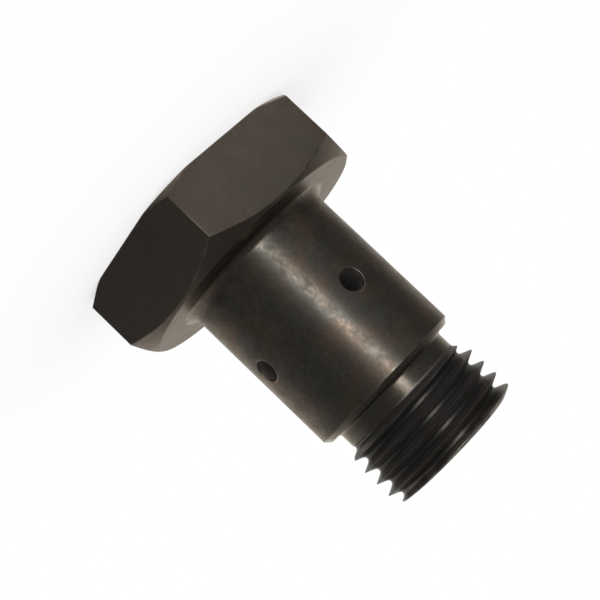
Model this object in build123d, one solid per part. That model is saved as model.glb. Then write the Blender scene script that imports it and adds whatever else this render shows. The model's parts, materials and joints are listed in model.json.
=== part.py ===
from build123d import *
import math
import os

# Banjo bolt, in millimetres. It stands on the outer face of its head, with +Z along its axis
# towards the threaded end. The cross holes open along X and Y.

# Threaded end: a fine metric thread, here as a plain cylinder at the height of its crests
thread_diameter = 10.0
thread_length = 4.35
thread_lead_chamfer = 0.3

# Relief neck between the thread and the seat
neck_depth = 0.67  # below the crests of the thread
neck_length = 1.2
neck_corner_radius = 0.25

# Seat that the banjo eye is slipped over
seat_over_thread = 0.4  # how far the seat stands outside the crests, so that the eye clears them
seat_length = 11.55
seat_end_chamfer = 0.35
under_head_radius = 0.7

# Hex head, chamfered on both faces
across_flats = 17.0
head_height = 4.9
hex_turn = 38.5  # from +X to the nearest corner
outer_chamfer_width = 0.9  # taken off each corner, square to the axis
outer_chamfer_angle = 35.0
bearing_chamfer_width = 1.5
bearing_chamfer_angle = 35.0

# Drilled passage: cross holes in one ring, opening into a blind bore from the threaded end
bore_diameter = 4.0
bore_mouth_chamfer = 0.4
drill_point_angle = 118.0
bore_past_cross_holes = 0.85  # how far the bore keeps its full width past the edge of the cross holes
cross_hole_diameter = 1.5
cross_hole_count = 4
cross_hole_height = 5.8  # above the bearing face
cross_hole_edge_break = 0.15

# How far a cutting tool runs past the metal
overrun = 1.0

# Radii and heights that follow from the sizes above
thread_radius = thread_diameter / 2
neck_radius = thread_radius - neck_depth
seat_radius = thread_radius + seat_over_thread
corner_radius = across_flats / math.sqrt(3)
bore_radius = bore_diameter / 2
cross_hole_radius = cross_hole_diameter / 2

seat_end = head_height + seat_length
neck_end = seat_end + neck_length
bolt_end = neck_end + thread_length
cross_hole_ring = head_height + cross_hole_height
bore_floor = cross_hole_ring - cross_hole_radius - bore_past_cross_holes

# Turned faces start and end halfway between two cross holes, so that no hole is cut by a seam
seam_angle = 180 / cross_hole_count


def turned(profile):
    """A solid turned about the Z axis from a flat profile of radius and height."""
    return Rot(0, 0, seam_angle) * revolve(Plane.XZ * profile, Axis.Z)


def outlined(*points):
    """A flat profile from the (radius, height) points of its outline."""
    return make_face(Polyline(*points, close=True))


def corner(profile, radius, height):
    """The corner of a profile at a radius and a height."""
    return profile.vertices().sort_by_distance(Vector(radius, height, 0))[0]


def ring(solid, radius, height):
    """The round edge of a solid at a radius and a height."""
    circles = solid.edges().filter_by(GeomType.CIRCLE)
    return circles.sort_by(lambda edge: abs(edge.radius - radius) + abs(edge.arc_center.Z - height))[0]


def hex_head():
    """The hexagon, cut by a cone on each face, so that every flat ends in a curved edge."""
    flats = RegularPolygon(across_flats / 2, 6, major_radius=False, rotation=hex_turn)
    prism = extrude(flats, head_height)
    reach = corner_radius + overrun
    outer_radius = corner_radius - outer_chamfer_width
    outer_rise = (reach - outer_radius) * math.tan(math.radians(outer_chamfer_angle))
    bearing_radius = corner_radius - bearing_chamfer_width
    bearing_fall = (reach - bearing_radius) * math.tan(math.radians(bearing_chamfer_angle))
    envelope = outlined(
        (0, 0),
        (outer_radius, 0),
        (reach, outer_rise),
        (reach, head_height - bearing_fall),
        (bearing_radius, head_height),
        (0, head_height),
    )
    return prism & turned(envelope)


def turned_shank():
    """The seat, the neck and the threaded end, turned from one outline that starts inside the head."""
    foot = head_height / 2
    thread_start = neck_end + neck_depth
    profile = outlined(
        (0, foot),
        (seat_radius, foot),
        (seat_radius, seat_end),
        (neck_radius, seat_end),
        (neck_radius, neck_end),
        (thread_radius, thread_start),
        (thread_radius, bolt_end),
        (0, bolt_end),
    )
    profile = chamfer(corner(profile, seat_radius, seat_end), seat_end_chamfer)
    profile = fillet(corner(profile, neck_radius, seat_end), neck_corner_radius)
    profile = fillet(corner(profile, neck_radius, neck_end), neck_corner_radius)
    profile = chamfer(corner(profile, thread_radius, bolt_end), thread_lead_chamfer)
    return turned(profile)


def axial_bore():
    """The blind bore with its drill point and the chamfer at its mouth."""
    point_depth = bore_radius / math.tan(math.radians(drill_point_angle / 2))
    mouth_radius = bore_radius + bore_mouth_chamfer + overrun
    profile = outlined(
        (0, bore_floor - point_depth),
        (bore_radius, bore_floor),
        (bore_radius, bolt_end - bore_mouth_chamfer),
        (mouth_radius, bolt_end + overrun),
        (0, bolt_end + overrun),
    )
    return turned(profile)


def cross_hole(angle):
    """One hole drilled from outside to the axis, with its outer edge broken by a cone."""
    edge_radius = cross_hole_radius + cross_hole_edge_break
    edge_start = seat_radius - cross_hole_edge_break
    drill = Cylinder(cross_hole_radius, seat_radius + overrun, align=(Align.CENTER, Align.CENTER, Align.MIN))
    edge_cone = Cone(
        cross_hole_radius,
        edge_radius + overrun,
        cross_hole_edge_break + overrun,
        align=(Align.CENTER, Align.CENTER, Align.MIN),
    )
    tool = drill + Pos(0, 0, edge_start) * edge_cone
    return Rot(0, 0, angle) * Pos(0, 0, cross_hole_ring) * Rot(0, 90, 0) * tool


def banjo_bolt():
    """The whole bolt as one piece of metal."""
    bolt = hex_head() + turned_shank()
    bolt = fillet(ring(bolt, seat_radius, head_height), under_head_radius)
    bolt -= axial_bore()
    for number in range(cross_hole_count):
        bolt -= cross_hole(number * 360 / cross_hole_count)
    return bolt


os.makedirs("parts", exist_ok=True)
export_step(banjo_bolt(), "parts/banjo_bolt.step")
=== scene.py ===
import json
import math

import bmesh
import bpy
from mathutils import Matrix, Vector


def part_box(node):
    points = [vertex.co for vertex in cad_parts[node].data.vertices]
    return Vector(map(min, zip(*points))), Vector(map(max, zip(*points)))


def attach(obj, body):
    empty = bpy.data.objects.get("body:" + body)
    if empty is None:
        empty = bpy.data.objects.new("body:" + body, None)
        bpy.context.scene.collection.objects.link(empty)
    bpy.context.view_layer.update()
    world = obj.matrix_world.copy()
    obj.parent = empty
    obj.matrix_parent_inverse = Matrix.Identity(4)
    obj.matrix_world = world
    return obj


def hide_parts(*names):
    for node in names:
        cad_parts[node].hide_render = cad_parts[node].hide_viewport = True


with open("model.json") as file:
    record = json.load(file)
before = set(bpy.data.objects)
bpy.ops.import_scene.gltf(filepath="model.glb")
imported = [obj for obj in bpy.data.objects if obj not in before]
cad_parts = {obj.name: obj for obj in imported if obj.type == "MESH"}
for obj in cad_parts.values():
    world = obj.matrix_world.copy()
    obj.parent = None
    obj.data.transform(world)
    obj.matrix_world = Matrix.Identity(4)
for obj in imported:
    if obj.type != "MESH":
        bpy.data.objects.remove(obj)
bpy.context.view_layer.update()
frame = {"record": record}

bl_info = {
    "name": "Banjo bolt",
    "version": (1, 0, 0),
    "blender": (4, 5, 0),
    "location": "3D View > Sidebar > Banjo Bolt",
    "description": "Builds a blackened banjo bolt with its cut thread, and the studio it stands in",
    "category": "Mesh",
}

MM = 0.001
NODE = "banjo_bolt"
PIECE = "blackened_bolt"
SIXTH = math.pi / 3


def mount(name):
    """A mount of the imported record, whose sizes the metal here is tied to."""
    return next(m for m in frame["record"]["mounts"] if m["name"] == name)


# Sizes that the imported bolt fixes
THREAD_RADIUS = mount("thread")["dims"]["r_mm"] * MM
SEAT_RADIUS = mount("eye_seat")["dims"]["r_mm"] * MM
BORE_RADIUS = mount("oil_bore")["dims"]["r_mm"] * MM
BEARING_HEIGHT = mount("bearing_face")["pos_m"][2]
BOLT_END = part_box(NODE)[1].z

# How finely the metal is divided
COLUMNS = 240
HOLES = 4
HOLE_COLUMNS = COLUMNS // HOLES
HOLE_STEPS = 96  # points round each cross hole
MERGE = 1e-6
SUPPORT = 1.2  # from the end of a rounded edge to the ring that keeps its face flat, in radii

# Numbers that the metal carries at its points
EDGE_MASK = "edge_mask"
# Painted shade in the thread's roots and painted light on its deep flanks, as a change to its colour's
# brightness
PAINTED_SHADING_MASK = "groove_mask"

# Outputs that the nodes are read at
OBJECT_COORDINATES = 3
ATTRIBUTE_VALUE = 2
IS_GLOSSY_RAY = 3

WHITE = (1.0, 1.0, 1.0, 1.0)


def setting(kind, **options):
    """A short call for settings of one kind, from their name, description and default."""
    return lambda name, description, default: kind(
        name=name, description=description, default=default, **options
    )


length = setting(bpy.props.FloatProperty, min=0.0, precision=6, unit="LENGTH")
share = setting(bpy.props.FloatProperty, min=0.0, max=1.0, subtype="FACTOR")
amount = setting(bpy.props.FloatProperty, min=0.0)
colour = setting(bpy.props.FloatVectorProperty, size=3, min=0.0, max=1.0, subtype="COLOR")


def angle(name, description, degrees):
    """An angle, given in degrees."""
    return bpy.props.FloatProperty(
        name=name, description=description, default=math.radians(degrees), subtype="ANGLE"
    )


class HeadSizes(bpy.types.PropertyGroup):
    across_flats: length("Across flats", "Width of the hexagon between two flats", 17.0 * MM)
    height: length("Height", "From the outer face to the bearing face", BEARING_HEIGHT)
    turn: angle("Turn", "From +X to the nearest corner of the hexagon", 38.5)
    outer_chamfer: length("Outer chamfer", "Taken off each corner at the outer face", 0.9 * MM)
    outer_slope: angle("Outer slope", "Slope of the chamfer at the outer face", 35.0)
    bearing_chamfer: length("Bearing chamfer", "Taken off each corner at the bearing face", 1.5 * MM)
    bearing_slope: angle("Bearing slope", "Slope of the chamfer at the bearing face", 35.0)
    edge_rounding: length("Edge rounding", "Radius along the chamfers' edges", 0.07 * MM)
    corner_rounding: length("Corner rounding", "Radius of the six upright corners", 0.08 * MM)


class ShankSizes(bpy.types.PropertyGroup):
    seat_radius: length("Seat radius", "Smooth seat of the banjo eye", SEAT_RADIUS)
    seat_length: length("Seat length", "From the bearing face to the shoulder", 11.55 * MM)
    fillet: length("Fillet", "Radius under the head", 0.7 * MM)
    shoulder_chamfer: length("Shoulder chamfer", "At the end of the seat", 0.35 * MM)
    shoulder_rounding: length("Shoulder rounding", "Radius along that chamfer's edges", 0.06 * MM)
    neck_radius: length("Neck radius", "Relief neck before the thread", THREAD_RADIUS - 0.67 * MM)
    neck_length: length("Neck length", "From the shoulder to the foot of the thread's cone", 1.2 * MM)
    neck_rounding: length("Neck rounding", "Radius at both ends of the neck", 0.25 * MM)
    bore_radius: length("Bore radius", "Axial bore", BORE_RADIUS)
    mouth_chamfer: length("Mouth chamfer", "At the open end of the bore", 0.4 * MM)
    point_angle: angle("Drill point", "Angle of the cone at the bottom of the bore", 118.0)
    bore_past_holes: length("Bore past holes", "Full width of the bore beyond the cross holes", 0.85 * MM)
    hole_radius: length("Cross hole radius", "Each of the cross holes", 0.75 * MM)
    hole_height: length("Cross hole height", "Above the bearing face", 5.8 * MM)
    hole_edge: length("Cross hole edge", "Width of the cone that breaks its edge", 0.15 * MM)


class ThreadSizes(bpy.types.PropertyGroup):
    pitch: length("Pitch", "Rise in one turn", 1.0 * MM)
    crest_radius: length("Crest radius", "Outside of the thread", THREAD_RADIUS)
    depth: length("Depth", "From crest to root", 0.735 * MM)
    crest_width: length("Crest width", "Flat left at the top of the thread", 0.03 * MM)
    crest_rounding: length("Crest rounding", "How far the crest's edges are softened", 0.04 * MM)
    root_rounding: length("Root rounding", "How far the root is rounded", 0.36 * MM)
    flank_angle: angle("Flank angle", "Between a flank and the radius", 24.0)
    crest_height: length("Crest height", "Height of a crest on the side of +X", 20.85 * MM)
    end_chamfer: length("End chamfer", "At the free end", 0.3 * MM)
    rows: bpy.props.IntProperty(name="Rows", description="Divisions in one pitch", default=32, min=8)
    face_rows: bpy.props.IntProperty(name="Face rows", description="Across the end face", default=6, min=1)


class FinishLook(bpy.types.PropertyGroup):
    oxide: colour("Oxide", "Blackened surface", (0.060, 0.056, 0.047))
    brown: colour("Brown oxide", "Patches where the oxide is thinner", (0.074, 0.057, 0.044))
    # The thread's own colder tint, made about twice as pale as the oxide elsewhere: painted light that
    # makes up for the shade inside its grooves
    cold: colour("Cold oxide", "The thread's colder black", (0.114, 0.109, 0.104))
    bare: colour("Bare steel", "Where the oxide is rubbed off", (0.50, 0.43, 0.35))
    head_roughness: share("Head roughness", "Of the flats and chamfers", 0.40)
    turned_roughness: share("Turned roughness", "Of the seat", 0.33)
    neck_roughness: share("Neck roughness", "Of the shoulder and the neck", 0.25)
    thread_roughness: share("Thread roughness", "Of the thread and the end", 0.36)
    # Painted shade: the thread's roots are darkened where the teeth shade them
    groove_shade: share("Groove shade", "How much darker the roots of the thread are", 0.7)
    # Painted light: the thread's deep flanks are made paler where the teeth shade them
    flank_light: amount("Flank light", "How much paler the thread's flanks are beside the roots", 0.55)
    drilled: colour("Drilled walls", "Inside the cross holes and the bore", (0.105, 0.096, 0.088))
    drilled_roughness: share("Drilled roughness", "Inside the cross holes and the bore", 0.55)
    patch: length("Patch size", "Width of a patch in the oxide", 1.1 * MM)
    speckle: length("Speckle size", "Width of a fine speckle", 0.24 * MM)
    turning: length("Turning marks", "From one turning mark to the next", 0.14 * MM)
    head_wear: share("Head wear", "How far the edges of the head are rubbed", 0.12)
    shank_wear: share("Shank wear", "How far the edges of the seat and the holes are rubbed", 0.16)
    end_wear: share("End wear", "How far the free end is rubbed", 0.65)
    end_fade: length("End fade", "How far the rubbing reaches from the edge of the free end", 0.55 * MM)


class StudioSettings(bpy.types.PropertyGroup):
    aim_height: length("Aim height", "Height on the axis that the camera looks at", 8.91 * MM)
    aim_side: length("Aim side", "How far beside the axis it looks", 0.0711 * MM)
    distance: length("Distance", "From the camera to the axis", 71.86 * MM)
    azimuth: angle("Azimuth", "Of the camera, from +X", 32.77)
    elevation: angle("Elevation", "Of the camera, above the floor", 5.36)
    roll: angle("Roll", "Of the camera about its line of sight", 133.66)
    lens: bpy.props.FloatProperty(name="Lens", description="In millimetres", default=69.12, min=1.0)
    strip_azimuth: angle("Strip azimuth", "Middle of the bright strip, from +X", 17.0)
    strip_width: angle("Strip width", "Of the bright strip, seen from the bolt", 12.0)
    strip_level: amount("Strip level", "Brightness of the strip, where white is 1", 11.0)
    dim_level: amount("Dim level", "Brightness of the dark sides, where white is 1", 0.25)
    shadow: share("Shadow", "How dark the floor gets beside the bolt", 0.3)


def settings(context):
    return context.scene.banjo_bolt


class BoltSettings(bpy.types.PropertyGroup):
    head: bpy.props.PointerProperty(type=HeadSizes)
    shank: bpy.props.PointerProperty(type=ShankSizes)
    thread: bpy.props.PointerProperty(type=ThreadSizes)
    finish: bpy.props.PointerProperty(type=FinishLook)
    studio: bpy.props.PointerProperty(type=StudioSettings)


class RingMesh:
    """A mesh made of rings of points round the Z axis, joined ring to ring."""

    def __init__(self):
        self.bm = bmesh.new()

    def ring(self, angles, radii, heights):
        """A ring of points, one at each angle."""
        return [
            self.bm.verts.new((r * math.cos(a), r * math.sin(a), z))
            for a, r, z in zip(angles, radii, heights)
        ]

    def circle(self, radius, height):
        """A round ring of evenly spaced points."""
        angles = [2 * math.pi * k / COLUMNS for k in range(COLUMNS)]
        return self.ring(angles, [radius] * COLUMNS, [height] * COLUMNS)

    def point(self, vector):
        return self.bm.verts.new(vector)

    def join(self, first, second, keep=lambda column: True):
        """Faces between two closed rings of as many points, at the columns that are kept."""
        count = len(first)
        for k in range(count):
            if keep(k):
                n = (k + 1) % count
                self.bm.faces.new((first[k], first[n], second[n], second[k]))

    def cap(self, ring, centre):
        """Faces from a ring to one point."""
        for first, second in zip(ring, ring[1:] + ring[:1]):
            self.bm.faces.new((first, second, centre))

    def join_all(self, rings):
        for first, second in zip(rings, rings[1:]):
            self.join(first, second)

    def finished(self, name):
        """The rings as a new object in the scene, with its doubles merged."""
        bmesh.ops.remove_doubles(self.bm, verts=self.bm.verts, dist=MERGE)
        return show_mesh(name, self.bm)


def show(name, data):
    """A new object in the scene."""
    made = bpy.data.objects.new(name, data)
    bpy.context.scene.collection.objects.link(made)
    return made


def show_mesh(name, bm):
    """A new object in the scene, from the faces that were made for it."""
    mesh = bpy.data.meshes.new(name)
    bm.to_mesh(mesh)
    bm.free()
    return show(name, mesh)


def arc(centre, radius, start, end, steps):
    """Points on an arc in the (radius, height) plane, from one angle to another."""
    out, up = centre
    turns = spread(start, end, steps)
    return [(out + radius * math.cos(turn), up + radius * math.sin(turn)) for turn in turns]


def spread(start, end, steps):
    """Evenly spaced numbers, both ends included."""
    return [start + (end - start) * k / steps for k in range(steps + 1)]


# Degrees from a corner of the hexagon to the columns of its rounding, and to the first even one
CORNER_COLUMNS = (0.08, 0.16, 0.235, 0.6, 1.4)
CORNER_REACH = 3.0
FACE_RINGS = (0.5, 2.0, 4.0, 6.0, 7.6)  # of the outer face, in mm from the axis


def head_angles(turn):
    """The angles of the head's columns, closer together at the corners of the hexagon."""
    between = COLUMNS // 6 - 1 - 2 * len(CORNER_COLUMNS)
    offsets = [0.0, *CORNER_COLUMNS]
    offsets += spread(CORNER_REACH, 60 - CORNER_REACH, between - 1)
    offsets += [60 - x for x in reversed(CORNER_COLUMNS)]
    return [turn + side * SIXTH + math.radians(x) for side in range(6) for x in offsets]


def side_distance(azimuth, head):
    """How far the hexagon's side is from the axis, at an angle from +X."""
    off_corner = abs((azimuth - head.turn + SIXTH / 2) % SIXTH - SIXTH / 2)
    half_flats = head.across_flats / 2
    rounding = head.corner_rounding
    middle = (half_flats - rounding) / math.cos(SIXTH / 2)
    rounded_to = math.atan2(rounding * 0.5, middle + rounding * math.cos(SIXTH / 2))
    if off_corner < rounded_to:
        across = middle * math.sin(off_corner)
        return middle * math.cos(off_corner) + math.sqrt(rounding**2 - across**2)
    return half_flats / math.cos(SIXTH / 2 - off_corner)


def head_section(side, head):
    """One section of the head, as (radius, height) points from the outer face to the bearing face.

    Each edge is rounded about a centre that lies inside both faces, so a chamfer that shrinks to
    nothing towards the middle of a flat leaves no crease.
    """
    e = head.edge_rounding
    corner = head.across_flats / math.sqrt(3)
    outer, bearing = corner - head.outer_chamfer, corner - head.bearing_chamfer
    outer_rise, bearing_fall = math.tan(head.outer_slope), math.tan(head.bearing_slope)
    outer_inset = e / math.cos(head.outer_slope)
    bearing_inset = e / math.cos(head.bearing_slope)
    side_middle = side - e
    outer_middle = outer + (e - outer_inset) / outer_rise
    outer_height = (side_middle - outer) * outer_rise + outer_inset
    high = head.height - (side_middle - bearing) * bearing_fall - bearing_inset
    bearing_middle = bearing + (e - bearing_inset) / bearing_fall
    down, up = -math.pi / 2, math.pi / 2
    outer_normal = down + head.outer_slope
    bearing_normal = up - head.bearing_slope
    low = max(e, outer_height)
    support = SUPPORT * e
    outer_end = min(side_middle, outer_middle)
    points = [(outer_end - support, 0.0)]
    points += arc((outer_end, e), e, down, outer_normal, 2)
    points += arc((side_middle, low), e, outer_normal, 0.0, 3)
    points += [(side, z) for z in spread(low + support, high - support, 4)]
    points += arc((side_middle, high), e, 0.0, bearing_normal, 3)
    cone_start = points[-1]
    face_edge = arc((bearing_middle, head.height - e), e, bearing_normal, up, 2)
    cone_end = face_edge[0]
    points += [
        (cone_start[0] - support, cone_start[1] + support * bearing_fall),
        (cone_end[0] + support, cone_end[1] - support * bearing_fall),
        *face_edge,
        (bearing_middle - support, head.height),
    ]
    return points


class BANJO_BOLT_OT_head(bpy.types.Operator):
    """Make the hex head, chamfered on both faces and open where the shank starts"""

    bl_idname = "banjo_bolt.head"
    bl_label = "Hex head"

    def execute(self, context):
        head = settings(context).head
        shank = settings(context).shank
        angles = head_angles(head.turn)
        sections = [head_section(side_distance(a, head), head) for a in angles]
        rings = RingMesh()
        rows = [
            rings.ring(angles, [p[0] for p in row], [p[1] for p in row]) for row in zip(*sections)
        ]
        inner = [rings.ring(angles, [r * MM] * COLUMNS, [0.0] * COLUMNS) for r in FACE_RINGS]
        rings.cap(inner[0], rings.point((0.0, 0.0, 0.0)))
        rings.join_all(inner + rows)
        start = round(head.turn / (2 * math.pi) * COLUMNS)
        foot = rings.circle(shank.seat_radius + shank.fillet, head.height)
        rings.join(rows[-1], foot[start:] + foot[:start])
        rings.finished("hex_head")
        return {"FINISHED"}


# Windows left open round the cross holes: half their columns and half their height
SEAT_WINDOW = (12, 1.68 * MM)
BORE_WINDOW = (16, 0.9 * MM)

# Loops round a cross hole, as shares of the way from a window to the hole, and over its edge
SEAT_LOOPS = (0.15, 0.3, 0.45, 0.6, 0.75, 0.88, 0.95, 1.0)
BORE_LOOPS = (0.35, 0.7, 0.92, 1.0)
EDGE_LOOPS = (0.8, 0.6, 0.4, 0.2)
WALL_LOOPS = (0.0, 0.05, 0.6, 1.5, 2.5)  # in mm below the edge
POINT_RINGS = (1.0, 0.75, 0.5, 0.25, 0.05)  # of the drill point, as shares of its radius


def window_steps(half_columns, half_rows):
    """The steps once round a window in the grid of a wall, as (columns, rows) from its middle."""
    half = [(half_columns, r) for r in range(half_rows)]
    half += [(c, half_rows) for c in range(half_columns, -half_columns, -1)]
    half += [(-half_columns, r) for r in range(half_rows, 0, -1)]
    return half + [(-c, -r) for c, r in half]


class Wall:
    """A round wall in rings, with a square window left open round each cross hole."""

    def __init__(self, rings, radius, hole_height, window, below, above):
        """Below and above are the wall's two ends, each with its rows from there to the windows."""
        half_columns, half_height = window
        low, high = hole_height - half_height, hole_height + half_height
        self.rings = rings
        self.radius = radius
        self.hole_height = hole_height
        self.half_columns = half_columns
        self.half_rows = HOLE_STEPS // 4 - half_columns
        heights = spread(below[0], low, below[1])[:-1] + spread(low, high, 2 * self.half_rows)
        heights += spread(high, *above)[1:]
        self.middle_row = below[1] + self.half_rows
        self.rows = [rings.circle(radius, z) for z in heights]
        for k, (first, second) in enumerate(zip(self.rows, self.rows[1:])):
            by_holes = -self.half_rows <= k - self.middle_row < self.half_rows
            rings.join(first, second, lambda column: not (by_holes and self.in_window(column)))

    def in_window(self, column):
        off_hole = (column + HOLE_COLUMNS // 2) % HOLE_COLUMNS - HOLE_COLUMNS // 2
        return -self.half_columns <= off_hole < self.half_columns

    def window(self, hole):
        """The points round the window of one hole, in the order of the hole's own points."""
        middle = hole * HOLE_COLUMNS
        return [
            self.rows[self.middle_row + r][(middle + c) % COLUMNS]
            for c, r in window_steps(self.half_columns, self.half_rows)
        ]

    def patch(self, hole, rim, steps):
        """Loops on the wall from the window of a hole to its rim, which is (sideways, up) points."""
        turn = Matrix.Rotation(2 * math.pi * hole / HOLES, 3, "Z")
        back = turn.transposed()
        outside = self.window(hole)
        loops = [outside]
        for t in steps:
            loop = []
            for vertex, (side, up) in zip(outside, rim):
                flat = back @ vertex.co
                y = flat.y + (side - flat.y) * t
                z = flat.z - self.hole_height + (up - flat.z + self.hole_height) * t
                x = math.sqrt(self.radius**2 - y**2)
                loop.append(self.rings.point(turn @ Vector((x, y, self.hole_height + z))))
            loops.append(loop)
        self.rings.join_all(loops)
        return loops[-1]


class BANJO_BOLT_OT_shank(bpy.types.Operator):
    """Make the seat with its four cross holes, the neck and the blind bore that they open into"""

    bl_idname = "banjo_bolt.shank"
    bl_label = "Drilled shank"

    def execute(self, context):
        sizes = settings(context)
        shank, head = sizes.shank, sizes.head
        hole_height = head.height + shank.hole_height
        rings = RingMesh()
        seat = self.seat(rings, shank, head.height, hole_height)
        bore = self.bore(rings, shank, hole_height)
        for hole in range(HOLES):
            self.cross_hole(rings, shank, seat, bore, hole)
        rings.finished("drilled_shank")
        return {"FINISHED"}

    def seat(self, rings, shank, bearing, hole_height):
        """The fillet, the seat with its windows, the shoulder and the neck."""
        r = shank.seat_radius
        end = bearing + shank.seat_length
        chamfer, soft = shank.shoulder_chamfer, shank.shoulder_rounding
        tangent = soft * math.tan(math.pi / 8)
        start = bearing + shank.fillet
        top = end - chamfer - tangent
        wall = Wall(rings, r, hole_height, SEAT_WINDOW, (start, 14), (top - soft, 14))
        fillet = arc((r + shank.fillet, start), shank.fillet, -math.pi / 2, -math.pi, 10)
        rings.join_all([rings.circle(*p) for p in fillet])
        eighth = math.pi / 4
        profile = [(r, top - soft), *arc((r - soft, top), soft, 0.0, eighth, 3)]
        profile += arc((r - chamfer - tangent, end - soft), soft, eighth, 2 * eighth, 3)
        neck, rounding = shank.neck_radius, shank.neck_rounding
        profile += [(r - chamfer - tangent - soft, end), (neck + rounding + soft, end)]
        profile += arc((neck + rounding, end + rounding), rounding, -2 * eighth, -4 * eighth, 8)
        neck_top = neck_start(shank, bearing)
        profile += [(neck, z) for z in spread(end + rounding, neck_top, 4)[1:]]
        rings.join_all([rings.circle(*p) for p in profile])
        return wall

    def bore(self, rings, shank, hole_height):
        """The bore from its mouth to its drill point."""
        r = shank.bore_radius
        floor = hole_height - shank.hole_radius - shank.bore_past_holes
        wall_top = BOLT_END - shank.mouth_chamfer
        wall = Wall(rings, r, hole_height, BORE_WINDOW, (floor, 4), (wall_top, 24))
        mouth = [rings.circle(r, wall_top), rings.circle(r + shank.mouth_chamfer, BOLT_END)]
        rings.join_all(mouth)
        depth = r / math.tan(shank.point_angle / 2)
        cone = [rings.circle(r * s, floor - depth * (1 - s)) for s in POINT_RINGS]
        rings.join_all(cone)
        rings.cap(cone[-1], rings.point((0.0, 0.0, floor - depth)))
        return wall

    def cross_hole(self, rings, shank, seat, bore, hole):
        """One cross hole, from its rounded edge on the seat to the wall of the bore.

        The edge is a curve between the seat and the hole's wall, with the sharp corner as its control
        point, so it shines as a worn edge does.
        """
        r, wide = shank.hole_radius, shank.seat_radius
        foot = wide - shank.hole_edge
        apex = foot - r  # of the edge's 45 degree cone, from the bolt's axis
        turns = [2 * math.pi * k / HOLE_STEPS for k in range(HOLE_STEPS)]
        directions = [(math.cos(turn), math.sin(turn)) for turn in turns]
        rim = []
        for side, up in directions:
            # Where the cone, at (apex + out, out * side), meets the seat's round
            squares = 1 + side**2
            out = (math.sqrt(apex**2 - squares * (apex**2 - wide**2)) - apex) / squares
            rim.append((out * side, out * up))
        outer = seat.patch(hole, rim, SEAT_LOOPS)
        inner_rim = [(r * side, r * up) for side, up in directions]
        inner = bore.patch(hole, inner_rim, BORE_LOOPS)
        turn = Matrix.Rotation(2 * math.pi * hole / HOLES, 3, "Z")
        loops = [outer]
        for t in EDGE_LOOPS:
            loop = []
            for (far_side, far_up), (side, up) in zip(rim, inner_rim):
                far = Vector((math.sqrt(wide**2 - far_side**2), far_side, far_up))
                corner = Vector((math.sqrt(wide**2 - side**2), side, up))
                near = Vector((foot, side, up))
                place = far * t**2 + corner * 2 * t * (1 - t) + near * (1 - t) ** 2
                place.z += seat.hole_height
                loop.append(rings.point(turn @ place))
            loops.append(loop)
        for below in WALL_LOOPS:
            loops.append([
                rings.point(turn @ Vector((foot - below * MM, side, seat.hole_height + up)))
                for side, up in inner_rim
            ])
        loops.append(inner)
        rings.join_all(loops)


def neck_start(shank, bearing):
    """The height at which the neck begins to round into the thread's starting cone."""
    cone_foot = bearing + shank.seat_length + shank.neck_length
    return cone_foot - shank.neck_rounding * math.tan(math.pi / 8)


class Value:
    """A node's output, which formulas use like a number."""

    def __init__(self, nodes, socket):
        self.nodes = nodes
        self.socket = socket

    def __add__(self, other):
        return self.nodes.sum("ADD", self, other)

    def __sub__(self, other):
        return self.nodes.sum("SUBTRACT", self, other)

    def __rsub__(self, other):
        return self.nodes.sum("SUBTRACT", other, self)

    def __mul__(self, other):
        return self.nodes.sum("MULTIPLY", self, other)

    def __truediv__(self, other):
        return self.nodes.sum("DIVIDE", self, other)

    def __rtruediv__(self, other):
        return self.nodes.sum("DIVIDE", other, self)

    def __pow__(self, other):
        return self.nodes.sum("POWER", self, other)


class Nodes:
    """A node tree with short calls for its inputs, nodes and sums."""

    def __init__(self, tree):
        self.tree = tree
        self.values = {}
        self.ends = {}

    @classmethod
    def group(cls, name, kind):
        """A new node group, with its entry."""
        made = cls(bpy.data.node_groups.new(name, kind))
        made.entry = made.tree.nodes.new("NodeGroupInput")
        return made

    def input(self, name, value=None, kind="Float"):
        """A named input of the group, whose value is kept under its identifier."""
        made = self.tree.interface.new_socket(name, in_out="INPUT", socket_type="NodeSocket" + kind)
        self.values[made.identifier] = value
        return Value(self, self.entry.outputs[made.identifier])

    def output(self, name, result, kind="Float"):
        """A named output of the group."""
        made = self.tree.interface.new_socket(name, in_out="OUTPUT", socket_type="NodeSocket" + kind)
        self.ends[made.identifier] = result

    def finish(self):
        """Links the outputs, once all of them are named."""
        end = self.tree.nodes.new("NodeGroupOutput")
        for identifier, result in self.ends.items():
            self.put(end.inputs[identifier], result)
        return self.tree

    def put(self, socket, value):
        """A value or a link into a socket."""
        if isinstance(value, Value):
            self.tree.links.new(value.socket, socket)
        elif value is not None:
            socket.default_value = value

    def node(self, kind, *inputs, out=0, **options):
        """A node with its inputs in order, each a link or a value, and None where it is left."""
        made = self.tree.nodes.new(kind)
        for name, value in options.items():
            setattr(made, name, value)
        for socket, value in zip([s for s in made.inputs if s.enabled], inputs):
            self.put(socket, value)
        return Value(self, [s for s in made.outputs if s.enabled][out])

    def surface(self, kind, result):
        """The tree's last node, which shows a shader."""
        self.put(self.tree.nodes.new(kind).inputs["Surface"], result)

    def sum(self, operation, *values, **options):
        return self.node("ShaderNodeMath", *values, operation=operation, **options)

    def vector(self, operation, *values, **options):
        return self.node("ShaderNodeVectorMath", *values, operation=operation, **options)

    def ramp(self, value, *limits):
        """A smooth step of a value from two limits to two others."""
        return self.node("ShaderNodeMapRange", value, *limits, interpolation_type="SMOOTHSTEP")

    def mix(self, factor, first, second):
        """A mix of two colours."""
        return self.node("ShaderNodeMix", factor, first, second, data_type="RGBA")

    def place(self, group, **inputs):
        """A group node's outputs by name. Its inputs are given by name too, with _ for a space."""
        made = self.tree.nodes.new("ShaderNodeGroup")
        made.node_tree = group
        for name, value in inputs.items():
            self.put(made.inputs[name.replace("_", " ")], value)
        return {socket.name: Value(self, socket) for socket in made.outputs}


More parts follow.
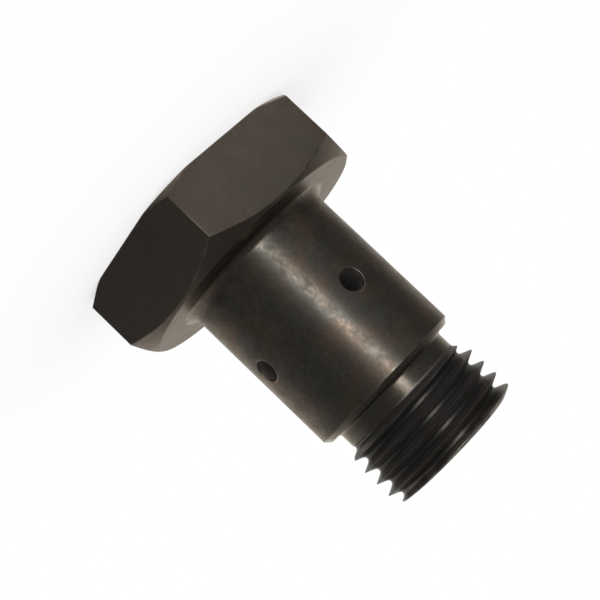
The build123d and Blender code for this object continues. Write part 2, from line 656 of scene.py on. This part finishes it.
def thread_tree(thread, shank, foot, metal):
    """The threaded end as a grid that is wound along the helix and cut off square at both ends.

    Each point's height follows the helix, so the rows run along the crests. Its radius is the least
    of the thread's form, the starting cone and the chamfer at the free end. The last rows close the
    end face as far as the rim of the bore's mouth.
    """
    tree = Nodes.group("thread_winding", "GeometryNodeTree")
    tree.tree.is_modifier = True
    add = tree.input
    pitch = add("Pitch", thread.pitch)
    crest = add("Crest radius", thread.crest_radius)
    root = add("Root radius", thread.crest_radius - thread.depth)
    crest_width = add("Crest width", thread.crest_width)
    crest_soft = add("Crest rounding", thread.crest_rounding)
    root_soft = add("Root rounding", thread.root_rounding)
    flank_slope = add("Flank slope", 1 / math.tan(thread.flank_angle))
    phase = add("Crest height", thread.crest_height)
    low = add("Lowest height", foot - shank.neck_rounding * math.tan(math.pi / 8))
    cone_foot = add("Foot of the cone", foot)
    neck = add("Neck radius", shank.neck_radius)
    neck_soft = add("Neck rounding", shank.neck_rounding)
    high = add("End height", BOLT_END)
    chamfer = add("End chamfer", thread.end_chamfer)
    mouth = add("Mouth radius", shank.bore_radius + shank.mouth_chamfer)
    columns = add("Columns", COLUMNS, "Int")
    rows_per_turn = add("Rows in a turn", thread.rows, "Int")
    face_rows = add("Rows in the end face", thread.face_rows, "Int")
    material = add("Metal", metal, "Material")
    do = tree.sum

    turns_below = do("CEIL", (phase - low) / pitch) + 1.0
    base = phase - turns_below * pitch
    side_rows = do("CEIL", (high - base) / pitch) * rows_per_turn
    last_row = side_rows + face_rows
    across = columns + 1.0
    grid = tree.node("GeometryNodeMeshGrid", 1.0, 1.0, last_row + 1.0, across)

    index = tree.node("GeometryNodeInputIndex")
    row = do("FLOOR", (index + 0.5) / across)
    turn = (index - row * across) / columns
    free_height = base + (row / rows_per_turn + turn) * pitch
    height = do("MINIMUM", do("MAXIMUM", free_height, low), high)

    winding = (height - phase) / pitch - turn
    off_crest = do("ABSOLUTE", winding - do("ROUND", winding))
    flank = crest - (off_crest * pitch - crest_width / 2.0) * flank_slope
    ridge = do("SMOOTH_MIN", flank, crest, crest_soft)
    above_low = height - low
    floor = do("MAXIMUM", root, neck - above_low)
    form = do("SMOOTH_MAX", ridge, floor, root_soft)
    under = do("MAXIMUM", neck_soft**2.0 - above_low**2.0, 0.0)
    curve_in = neck_soft - do("SQRT", under)
    on_rounding = do("LESS_THAN", above_low, neck_soft * math.sqrt(0.5))
    start = neck + tree.node("ShaderNodeMix", on_rounding, height - cone_foot, curve_in)
    end = (crest - chamfer) + (high - height)
    cut = do("MINIMUM", do("MINIMUM", form, start), end)
    inwards = do("DIVIDE", row - side_rows, face_rows, use_clamp=True)
    radius = tree.node("ShaderNodeMix", inwards**2.0, cut, mouth)

    full_turn = turn * (2 * math.pi)
    x, y = radius * do("COSINE", full_turn), radius * do("SINE", full_turn)
    place = tree.node("ShaderNodeCombineXYZ", x, y, height)
    wound_grid = tree.node("GeometryNodeSetPosition", grid, None, place)
    welded = tree.node("GeometryNodeMergeByDistance", wound_grid, None, MERGE)
    real = tree.node("GeometryNodeRealizeInstances", welded)
    painted = tree.node("GeometryNodeSetMaterial", real, None, material)
    tree.output("Geometry", painted, "Geometry")
    tree.finish()
    return tree


class BANJO_BOLT_OT_thread(bpy.types.Operator):
    """Wind the thread along its helix, with its starting cone, end chamfer and end face"""

    bl_idname = "banjo_bolt.thread"
    bl_label = "Cut thread"

    def execute(self, context):
        sizes = settings(context)
        shank = sizes.shank
        foot = sizes.head.height + shank.seat_length + shank.neck_length
        tree = thread_tree(sizes.thread, shank, foot, blackened(THREAD, sizes.finish))
        maker = show("thread_maker", bpy.data.meshes.new("thread_maker"))
        winding = maker.modifiers.new("winding", "NODES")
        winding.node_group = tree.tree
        for identifier, value in tree.values.items():
            winding[identifier] = value
        context.view_layer.update()
        graph = context.evaluated_depsgraph_get()
        mesh = bpy.data.meshes.new_from_object(maker.evaluated_get(graph))
        bpy.data.objects.remove(maker)
        if len(mesh.vertices) < COLUMNS:
            raise RuntimeError("the thread's node tree made no grid")
        mesh.name = "cut_thread"
        show("cut_thread", mesh)
        return {"FINISHED"}


# How the oxide varies: the patches' share of it against the speckles', what it does to the colour
# and the roughness, and the heights of patches, speckles and turning marks in metres
PATCH_SHARE = 0.6
COLOUR_CHANGE = 0.6
ROUGHNESS_CHANGE = -0.2
PATCH_RISE = 3.6e-6
SPECKLE_RISE = 0.65e-6
TURNING_RISE = 1.2e-6
TURNING_STRETCH = 0.02  # spacing of the turning marks over their length

# Tints of what the oxide mirrors at a flat angle
EDGE_TINT = (1.0, 0.92, 0.82, 1.0)
THREAD_EDGE_TINT = (0.6, 0.58, 0.55, 1.0)

# The finishes, in the order of the piece's material slots
HEAD = "blackened_head"
SEAT = "blackened_shank"
NECK = "blackened_neck"
THREAD = "blackened_thread"
DRILLED = "drilled_walls"

# The settings of each one's colour, roughness and wear, how much its oxide varies, how brown it is,
# how metallic, and its tint
FINISHES = {
    HEAD: (("oxide", "head_roughness", "head_wear"), 0.3, 0.45, 0.9, EDGE_TINT),
    SEAT: (("oxide", "turned_roughness", "shank_wear"), 1.0, 0.0, 0.9, EDGE_TINT),
    NECK: (("oxide", "neck_roughness", "shank_wear"), 0.6, 0.0, 0.9, EDGE_TINT),
    # The thread's oxide is paler as painted light against the shade in its grooves
    THREAD: (("cold", "thread_roughness", "end_wear"), 0.2, 0.1, 0.85, THREAD_EDGE_TINT),
}
SLOTS = (*FINISHES, DRILLED)

# The drilled walls: how metallic, their dark patches' share of the colour, and their roughness's
# change and height by the speckles
DRILLED_METALLIC = 0.3
DRILLED_DARK = 0.6
DRILLED_CHANGE = 0.15
DRILLED_RISE = 4.0e-6


def shared(name, make):
    """A node group that is built once and then used again."""
    return bpy.data.node_groups.get(name) or make(name)


def shader_group(name, *inputs):
    """A new group of shader nodes, its place and its other inputs."""
    tree = Nodes.group(name, "ShaderNodeTree")
    return tree, tree.input("Vector", kind="Vector"), *map(tree.input, inputs)


def oxide_patches(name):
    """Soft patches and fine speckles in the oxide, and where it is brown, as masks from 0 to 1."""
    tree, place, patch, speckle = shader_group(name, "Patch size", "Speckle size")
    broad = tree.node("ShaderNodeTexNoise", place, 1.0 / patch, 2.0, 0.5)
    fine = tree.node("ShaderNodeTexNoise", place, 1.0 / speckle, 2.0, 0.6)
    elsewhere = tree.vector("ADD", place, (0.05, 0.02, 0.07))
    brown = tree.node("ShaderNodeTexNoise", elsewhere, 0.6 / patch, 2.0, 0.5)
    tree.output("Patches", tree.ramp(broad, 0.2, 0.8, 0.0, 1.0))
    tree.output("Speckles", tree.ramp(fine, 0.3, 0.7, 0.0, 1.0))
    tree.output("Brown", tree.ramp(brown, 0.4, 0.66, 0.0, 1.0))
    return tree.finish()


def turning_marks(name):
    """Fine marks that run round the axis, as a height from 0 to 1."""
    tree, place, spacing = shader_group(name, "Spacing")
    along = 1.0 / spacing
    round_it = along * TURNING_STRETCH
    scale = tree.node("ShaderNodeCombineXYZ", round_it, round_it, along)
    squeezed = tree.vector("MULTIPLY", place, scale)
    tree.output("Height", tree.node("ShaderNodeTexNoise", squeezed, 1.0, 2.0, 0.7))
    return tree.finish()


def rubbed_edges(name):
    """A broken mask of the rubbed edges, from the edge mask that the mesh carries."""
    tree, place, edge, size = shader_group(name, "Edge", "Size")
    broken = tree.node("ShaderNodeTexNoise", place, 1.0 / size, 3.0, 0.6)
    tree.output("Mask", edge * tree.ramp(broken, 0.38, 0.62, 0.25, 1.0))
    return tree.finish()


class Metal(Nodes):
    """A new metal, with its shader's inputs and the masks of its oxide."""

    def __init__(self, name, finish, metallic):
        self.material = bpy.data.materials.new(name)
        self.material.use_nodes = True
        super().__init__(self.material.node_tree)
        self.shader = self.tree.nodes["Principled BSDF"].inputs
        self.shader["Metallic"].default_value = metallic
        self.object = self.node("ShaderNodeTexCoord", out=OBJECT_COORDINATES)
        self.oxide = self.place(
            shared("oxide_patches", oxide_patches),
            Vector=self.object, Patch_size=finish.patch, Speckle_size=finish.speckle,
        )

    def bump(self, height):
        """Lets a height, in metres, shade the metal."""
        self.put(self.shader["Normal"], self.node("ShaderNodeBump", 1.0, 1.0, None, height))


def blackened(name, finish):
    """Steel with a thin black oxide, whose sheen, tint and height vary, rubbed at its edges."""
    if name in bpy.data.materials:
        return bpy.data.materials[name]
    looks, variation, brown, metallic, tint = FINISHES[name]
    oxide_colour, roughness, wear = [getattr(finish, look) for look in looks]
    metal = Metal(name, finish, metallic)
    metal.shader["Specular Tint"].default_value = tint
    oxide = metal.oxide
    edge, painted_shading = [
        metal.node("ShaderNodeAttribute", out=ATTRIBUTE_VALUE, attribute_name=mask)
        for mask in (EDGE_MASK, PAINTED_SHADING_MASK)
    ]
    turned = metal.place(
        shared("turning_marks", turning_marks), Vector=metal.object, Spacing=finish.turning
    )["Height"]
    worn = metal.place(
        shared("rubbed_edges", rubbed_edges), Vector=metal.object, Edge=edge, Size=finish.patch
    )["Mask"]

    browned = oxide["Brown"] * variation + brown
    base = metal.mix(browned, (*oxide_colour, 1.0), (*finish.brown, 1.0))
    patches, speckles = oxide["Patches"], oxide["Speckles"]
    uneven = patches * PATCH_SHARE + speckles * (1 - PATCH_SHARE) - 0.5
    # The thread's painted shade in its roots and painted light on its flanks scale the colour's brightness
    level = (uneven * (COLOUR_CHANGE * variation) + 1.0) * (painted_shading + 1.0)
    shaded = metal.node("ShaderNodeHueSaturation", 0.5, 1.0, level, 1.0, base)
    metal.put(metal.shader["Base Color"], metal.mix(worn * wear, shaded, (*finish.bare, 1.0)))
    metal.put(metal.shader["Roughness"], uneven * (ROUGHNESS_CHANGE * variation) + roughness)
    height = patches * PATCH_RISE + speckles * SPECKLE_RISE + turned * TURNING_RISE
    metal.bump(height * variation)
    return metal.material


def drilled_steel(finish):
    """The dull, uneven walls of the cross holes and the bore."""
    metal = Metal(DRILLED, finish, DRILLED_METALLIC)
    speckles = metal.oxide["Speckles"]
    dark = tuple(channel * DRILLED_DARK for channel in finish.drilled)
    base = metal.mix(metal.oxide["Patches"], (*dark, 1.0), (*finish.drilled, 1.0))
    metal.put(metal.shader["Base Color"], base)
    metal.put(metal.shader["Roughness"], speckles * DRILLED_CHANGE + finish.drilled_roughness)
    metal.bump(speckles * DRILLED_RISE)
    return metal.material


def edge_sharpness(edge):
    """How sharply the metal turns outwards over an edge, in radians a metre."""
    across = sum(face.calc_area() for face in edge.link_faces) / 2 / max(edge.calc_length(), MERGE)
    return edge.calc_face_angle_signed() / max(across, MERGE)


# Shares of the thread's depth where the painted light on its deep flanks and the painted shade in its
# roots begin and are full, and the turns from its ends over which each of the two comes in
FLANK_DEPTHS = (0.3, 0.6)
ROOT_DEPTHS = (0.75, 1.0)
FLANK_TURNS = (0.7, 1.7)
ROOT_TURNS = (0.0, 0.5)
RUBBED = (1.0, 5.0)  # radians a mm that an edge turns where it is first rubbed, and fully
SHARP = 32  # degrees between the faces of an edge that is shaded sharp


def step(value, limits):
    """How far a value lies between two limits, from 0 to 1."""
    low, high = limits
    return min(max((value - low) / (high - low), 0.0), 1.0)


def mark_grooves(bm, sizes):
    """Marks the painted shade that darkens the thread's roots, and the painted light that makes its deep
    flanks paler beside them, where the teeth shade each other.
    """
    layer = bm.verts.layers.float.new(PAINTED_SHADING_MASK)
    thread, finish = sizes.thread, sizes.finish
    start = neck_start(sizes.shank, sizes.head.height)
    for vertex in bm.verts:
        out, z = vertex.co.xy.length, vertex.co.z
        depth = (thread.crest_radius - out) / thread.depth
        if depth < 1 + MERGE / thread.depth and start < z < BOLT_END - MERGE:
            above, below = (z - start) / thread.pitch, (BOLT_END - z) / thread.pitch
            flank, root = step(depth, FLANK_DEPTHS), step(depth, ROOT_DEPTHS)
            # Painted light on the deep flanks and painted shade in the roots
            painted_flank_light = step(min(above, below), FLANK_TURNS) * (flank - root) * finish.flank_light
            vertex[layer] = painted_flank_light - step(above, ROOT_TURNS) * root * finish.groove_shade


def mark_edges(bm, sizes):
    """Marks where the oxide is rubbed off, from 0 on an even face to 1.

    These are the convex edges below the thread, and the outer edge of the free end, where the
    rubbing fades out along the thread and inwards.
    """
    layer = bm.verts.layers.float.new(EDGE_MASK)
    shoulder = sizes.head.height + sizes.shank.seat_length + MERGE
    rim = sizes.thread.crest_radius - sizes.thread.end_chamfer
    for vertex in bm.verts:
        if vertex.co.z < shoulder:
            sharpest = max(edge_sharpness(edge) for edge in vertex.link_edges)
            vertex[layer] = step(sharpest * MM, RUBBED)
        else:
            away = max(BOLT_END - vertex.co.z, rim - vertex.co.xy.length)
            vertex[layer] = 1 - step(away, (0.0, sizes.finish.end_fade))


def metal_at(place, sizes):
    """The finish of a face, from the place of its middle."""
    shank = sizes.shank
    out = place.xy.length
    bearing = sizes.head.height
    if place.z < MERGE:
        return HEAD
    beside_hole, along_hole = sorted((abs(place.x), abs(place.y)))
    off_hole = math.hypot(beside_hole, place.z - bearing - shank.hole_height)
    in_hole = off_hole < shank.hole_radius and along_hole < shank.seat_radius - shank.hole_edge
    if out < shank.bore_radius or in_hole:
        return DRILLED
    if place.z < bearing + MERGE and out > shank.seat_radius + shank.fillet:
        return HEAD
    if place.z < bearing + shank.seat_length - shank.shoulder_chamfer:
        return SEAT
    if place.z < neck_start(shank, bearing):
        return NECK
    return THREAD


class BANJO_BOLT_OT_join(bpy.types.Operator):
    """Join the head, the shank and the thread into one closed piece of blackened metal"""

    bl_idname = "banjo_bolt.join"
    bl_label = "Join the metal"

    def execute(self, context):
        bm = bmesh.new()
        for name in ("hex_head", "drilled_shank", "cut_thread"):
            part = bpy.data.objects[name]
            bm.from_mesh(part.data)
            bpy.data.objects.remove(part)
        bmesh.ops.remove_doubles(bm, verts=bm.verts, dist=MERGE)
        bmesh.ops.dissolve_degenerate(bm, edges=bm.edges, dist=MERGE / 10)
        loose = [vertex for vertex in bm.verts if not vertex.link_faces]
        bmesh.ops.delete(bm, geom=loose, context="VERTS")
        bmesh.ops.recalc_face_normals(bm, faces=bm.faces)
        open_edges = sum(not edge.is_manifold for edge in bm.edges)
        if open_edges:
            raise RuntimeError(f"the bolt has {open_edges} edges that don't join two faces")
        sizes = settings(context)
        mark_edges(bm, sizes)
        mark_grooves(bm, sizes)
        for face in bm.faces:
            face.smooth = True
            face.material_index = SLOTS.index(metal_at(face.calc_center_median(), sizes))
        for edge in bm.edges:
            edge.smooth = edge.calc_face_angle() < math.radians(SHARP)
        bolt = show_mesh(PIECE, bm)
        for name in FINISHES:
            bolt.data.materials.append(blackened(name, sizes.finish))
        bolt.data.materials.append(drilled_steel(sizes.finish))
        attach(bolt, "root")
        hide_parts(NODE)
        return {"FINISHED"}


FLOOR_RADIUS = 1.0
CAMERA_SEES = (1 * MM, 10.0)  # nearest and farthest
SHADOW_REACH = (10 * MM, 60 * MM)  # distances from the axis where the shadow is full and where it ends


class BANJO_BOLT_OT_studio(bpy.types.Operator):
    """Set up the camera, the floor and the light round the bolt"""

    bl_idname = "banjo_bolt.studio"
    bl_label = "Studio"

    def execute(self, context):
        studio = settings(context).studio
        self.camera(context, studio)
        self.floor(studio)
        self.world(context, studio)
        context.scene.view_settings.view_transform = "Standard"
        return {"FINISHED"}

    def camera(self, context, studio):
        """The camera, on a sphere round a point of the axis and rolled about its line of sight."""
        data = bpy.data.cameras.new("camera")
        data.lens = studio.lens
        data.clip_start, data.clip_end = CAMERA_SEES
        camera = show("camera", data)
        turn = Matrix.Rotation(studio.azimuth + math.pi / 2, 4, "Z")
        turn @= Matrix.Rotation(math.pi / 2 - studio.elevation, 4, "X")
        aim = Vector((0.0, 0.0, studio.aim_height))
        aim += turn.to_3x3() @ Vector((studio.aim_side, 0.0, 0.0))
        back = turn.to_3x3() @ Vector((0.0, 0.0, studio.distance))
        camera.matrix_world = Matrix.Translation(aim + back) @ turn @ Matrix.Rotation(studio.roll, 4, "Z")
        context.scene.camera = camera

    def floor(self, studio):
        """A pale floor that keeps a soft shadow near the bolt and fades to white around it."""
        bm = bmesh.new()
        bmesh.ops.create_circle(bm, cap_ends=True, radius=FLOOR_RADIUS, segments=64)
        floor = show_mesh("floor", bm)
        material = bpy.data.materials.new("floor")
        material.use_nodes = True
        material.cycles.emission_sampling = "NONE"
        material.node_tree.nodes.clear()
        tree = Nodes(material.node_tree)
        place = tree.node("ShaderNodeTexCoord", out=OBJECT_COORDINATES)
        mirrored, level = studio_level(tree, place, studio)
        glow = tree.node("ShaderNodeEmission", WHITE, level)
        matt = tree.node("ShaderNodeBsdfDiffuse", WHITE)
        near = tree.ramp(tree.vector("LENGTH", place), *SHADOW_REACH, studio.shadow, 0.0)
        mixed = tree.node("ShaderNodeMixShader", near * (1.0 - mirrored), glow, matt)
        tree.surface("ShaderNodeOutputMaterial", mixed)
        floor.data.materials.append(material)

    def world(self, context, studio):
        """White all round, with the studio's dim sides and bright strip where metal mirrors it."""
        world = bpy.data.worlds.new("studio")
        world.use_nodes = True
        world.cycles.sampling_method = "NONE"
        world.node_tree.nodes.clear()
        tree = Nodes(world.node_tree)
        direction = tree.node("ShaderNodeTexCoord")
        level = studio_level(tree, direction, studio)[1]
        tree.surface("ShaderNodeOutputWorld", tree.node("ShaderNodeBackground", WHITE, level))
        context.scene.world = world


def studio_level(tree, place, studio):
    """Whether a ray was mirrored, and the brightness that it sees: plain white if it wasn't."""
    seen = tree.place(
        shared("studio_sides", studio_sides),
        Vector=place, Strip_azimuth=studio.strip_azimuth, Strip_width=studio.strip_width,
        Strip_level=studio.strip_level, Dim_level=studio.dim_level,
    )
    mirrored = tree.node("ShaderNodeLightPath", out=IS_GLOSSY_RAY)
    return mirrored, tree.node("ShaderNodeMix", mirrored, 1.0, seen["Level"])


# The studio's soft patches: azimuths in degrees from +X, and how many degrees from there each is
# full and ends. A rise is the sine of an angle above the floor.
BACK_AZIMUTH = 194
BACK_SPREAD = (22, 90)
BACK_LEVEL = 0.8
BACK_TOP = (0.5, 0.9)  # rises between which it fades out
BACK_FOOT = (0.12, 0.75)  # the rise below which it is darker, and its share left at the floor
FRONT_AZIMUTH = 0
FRONT_SPREAD = (10, 50)
FRONT_LEVELS = (0.9, 0.38)  # near the bolt and far from it
STRIP_EDGE = (0.6, 1.3)  # shares of its half width where it is full and where it ends
STRIP_TOP = (0.3, 0.5)
STRIP_ON_FLOOR = 0.71
FLOOR_RISE = 0.04  # a rise above which nothing is floor
FAR = (24 * MM, 38 * MM)  # distances from the bolt between which the floor changes


def studio_sides(name):
    """How bright the studio is in a direction from the bolt, or at a place on the floor.

    It is dim at the sides and above, paler at the back and on the floor in front, and has one
    bright upright strip.
    """
    tree, place, azimuth, width, strip_level, dim = shader_group(
        name, "Strip azimuth", "Strip width", "Strip level", "Dim level"
    )
    do, ramp = tree.sum, tree.ramp
    flat = tree.vector("NORMALIZE", tree.vector("MULTIPLY", place, (1.0, 1.0, 0.0)))
    rise = tree.node("ShaderNodeSeparateXYZ", tree.vector("NORMALIZE", place), out=2)
    far = ramp(tree.vector("LENGTH", place), *FAR, 0.0, 1.0)
    on_floor = ramp(rise, 0.0, FLOOR_RISE, 1.0, 0.0)

    def towards(turn):
        """The cosine of the angle round the axis from an azimuth."""
        aim = tree.node("ShaderNodeCombineXYZ", do("COSINE", turn), do("SINE", turn), 0.0)
        return tree.vector("DOT_PRODUCT", flat, aim)

    def patch(turn, reach, level):
        """A soft patch round an azimuth, as bright as a level where it is full."""
        full, end = [math.cos(math.radians(x)) for x in reach]
        return ramp(towards(math.radians(turn)), end, full, 0.0, level)

    foot_rise, foot_share = BACK_FOOT
    back = patch(BACK_AZIMUTH, BACK_SPREAD, BACK_LEVEL) * ramp(rise, *BACK_TOP, 1.0, 0.0)
    back = back * ramp(rise, 0.0, foot_rise, foot_share, 1.0)
    front = patch(FRONT_AZIMUTH, FRONT_SPREAD, 1.0) * ramp(far, 0.0, 1.0, *FRONT_LEVELS) * on_floor
    full, end = [do("COSINE", width * 0.5 * part) for part in STRIP_EDGE]
    strip = ramp(towards(azimuth), end, full, 0.0, 1.0) * ramp(rise, *STRIP_TOP, 1.0, 0.0)
    strip = strip * (far * ramp(on_floor, 0.0, 1.0, 1.0, STRIP_ON_FLOOR))
    tree.output("Level", dim + (back + front) + strip * strip_level)
    return tree.finish()


class BANJO_BOLT_PT_panel(bpy.types.Panel):
    """Sizes and steps of the banjo bolt"""

    bl_idname = "BANJO_BOLT_PT_panel"
    bl_label = "Banjo Bolt"
    bl_space_type = "VIEW_3D"
    bl_region_type = "UI"
    bl_category = "Banjo Bolt"

    def draw(self, context):
        groups = settings(context)
        for name in BoltSettings.__annotations__:
            box = self.layout.box()
            box.label(text=name.capitalize())
            group = getattr(groups, name)
            for key in group.__annotations__:
                box.prop(group, key)
        for operator in STEPS:
            self.layout.operator(operator.bl_idname)


STEPS = (
    BANJO_BOLT_OT_head,
    BANJO_BOLT_OT_shank,
    BANJO_BOLT_OT_thread,
    BANJO_BOLT_OT_join,
    BANJO_BOLT_OT_studio,
)
GROUPS = (HeadSizes, ShankSizes, ThreadSizes, FinishLook, StudioSettings, BoltSettings)
CLASSES = (*GROUPS, *STEPS, BANJO_BOLT_PT_panel)


def register():
    for cls in CLASSES:
        bpy.utils.register_class(cls)
    bpy.types.Scene.banjo_bolt = bpy.props.PointerProperty(type=BoltSettings)


def unregister():
    del bpy.types.Scene.banjo_bolt
    for cls in reversed(CLASSES):
        bpy.utils.unregister_class(cls)


def main():
    register()
    bpy.ops.banjo_bolt.head()
    bpy.ops.banjo_bolt.shank()
    bpy.ops.banjo_bolt.thread()
    bpy.ops.banjo_bolt.join()
    bpy.ops.banjo_bolt.studio()


if __name__ == "__main__":
    main()
